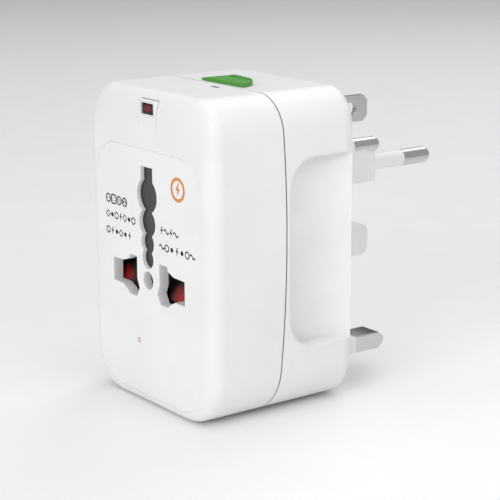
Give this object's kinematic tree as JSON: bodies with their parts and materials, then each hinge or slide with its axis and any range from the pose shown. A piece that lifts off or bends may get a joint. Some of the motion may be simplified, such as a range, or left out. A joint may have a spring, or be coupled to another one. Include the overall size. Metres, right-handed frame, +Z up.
{
  "type": "universal travel adapter",
  "caption": "Pocket mains adapter: a box with a multi-standard socket in front and retractable, twisting and folding pins behind.",
  "frame": {"origin": "on the base plane, under the middle of the case (mid width, mid depth of the case)", "axes": "+X to the right seen from the socket side, +Y from the socket face towards the plug pins, +Z up"},
  "size_m": [0.05, 0.0767, 0.075],
  "materials": {
    "white_shell": "satin white moulding",
    "panel_white": "satin white, smoother than the shell",
    "pale_plastic": "pale grey-white moulding",
    "red_lens": "dark red tinted, polished",
    "lamp_glass": "clear, orange glow electrode",
    "clear_lens": "diffused clear",
    "black_ink": "printed dark line",
    "dark_grey_plastic": "fine matt",
    "red_plastic": "satin red moulding",
    "spring_steel": "bright wire and screws",
    "contact_brass": "rolled strip",
    "board_green": "solder resist",
    "blue_epoxy": "dipped coating",
    "yellow_film": "potted box",
    "resistor_tan": "lacquer",
    "green_plastic": "satin green moulding",
    "nickel_plate": "satin nickel plating"
  },
  "bodies": {
    "root": {"front_shell": "white_shell", "socket_panel": "panel_white", "led_bezel": "white_shell", "led_lens": "red_lens", "neon_lamp": "lamp_glass", "surge_led": "clear_lens", "index_mark": "black_ink", "shutter_spring": "spring_steel", "contact_carrier": "dark_grey_plastic", "line_contact": "contact_brass", "neutral_contact": "contact_brass", "line_busbar": "contact_brass", "neutral_busbar": "contact_brass", "circuit_board": "board_green", "surge_varistor": "blue_epoxy", "filter_capacitor": "yellow_film", "led_resistor": "resistor_tan", "rear_shell": "white_shell", "back_plate": "white_shell", "case_screws": "spring_steel", "eu_hinge_pin": "spring_steel"},
    "lock": {"lock_slider": "green_plastic"},
    "earth_door": {"earth_flap": "dark_grey_plastic"},
    "safety_shutter": {"shutter": "red_plastic"},
    "us_unit": {"us_carriage": "pale_plastic"},
    "us_swivel_left": {"us_rotor_left": "pale_plastic", "us_blade_left": "nickel_plate"},
    "us_swivel_right": {"us_rotor_right": "pale_plastic", "us_blade_right": "nickel_plate"},
    "eu_unit": {"eu_fork": "pale_plastic", "eu_sleeve_left": "pale_plastic", "eu_sleeve_right": "pale_plastic", "eu_pin_left": "nickel_plate", "eu_pin_right": "nickel_plate"},
    "uk_unit": {"uk_carriage": "pale_plastic", "uk_line_pin": "nickel_plate", "uk_neutral_pin": "nickel_plate", "uk_line_sleeve": "pale_plastic", "uk_neutral_sleeve": "pale_plastic", "uk_earth_pin": "pale_plastic"}
  },
  "joints": [
    {"name": "lock_slide", "type": "slide", "parent": "root", "child": "lock", "axis": [1, 0, 0], "range_m": [0, 0.0028]},
    {"name": "us_slide", "type": "slide", "parent": "root", "child": "us_unit", "axis": [0, -1, 0], "range_m": [0, 0.0175]},
    {"name": "us_twist_left", "type": "hinge", "parent": "us_unit", "child": "us_swivel_left", "pos_m": [-0.00635, 0.0155, 0.0652], "axis": [0, 1, 0], "range_deg": [0, 30]},
    {"name": "us_twist_right", "type": "hinge", "parent": "us_unit", "child": "us_swivel_right", "pos_m": [0.00635, 0.0155, 0.0652], "axis": [0, -1, 0], "range_deg": [0, 30]},
    {"name": "eu_fold", "type": "hinge", "parent": "root", "child": "eu_unit", "pos_m": [0, 0.0171, 0.0514], "axis": [-1, 0, 0], "range_deg": [0, 90]},
    {"name": "uk_slide", "type": "slide", "parent": "root", "child": "uk_unit", "axis": [0, -1, 0], "range_m": [0, 0.0227]},
    {"name": "shutter_slide", "type": "slide", "parent": "root", "child": "safety_shutter", "axis": [0, 0, -1], "range_m": [0, 0.0072], "stiffness_N_per_m": 30, "springref_m": -0.004, "deforming": ["shutter_spring"]},
    {"name": "earth_door_swing", "type": "hinge", "parent": "root", "child": "earth_door", "pos_m": [-0.005, -0.01885, 0.045], "axis": [0, 0, 1], "range_deg": [0, 70], "stiffness_Nm_per_rad": 0.001, "springref_deg": -22.92}
  ]
}
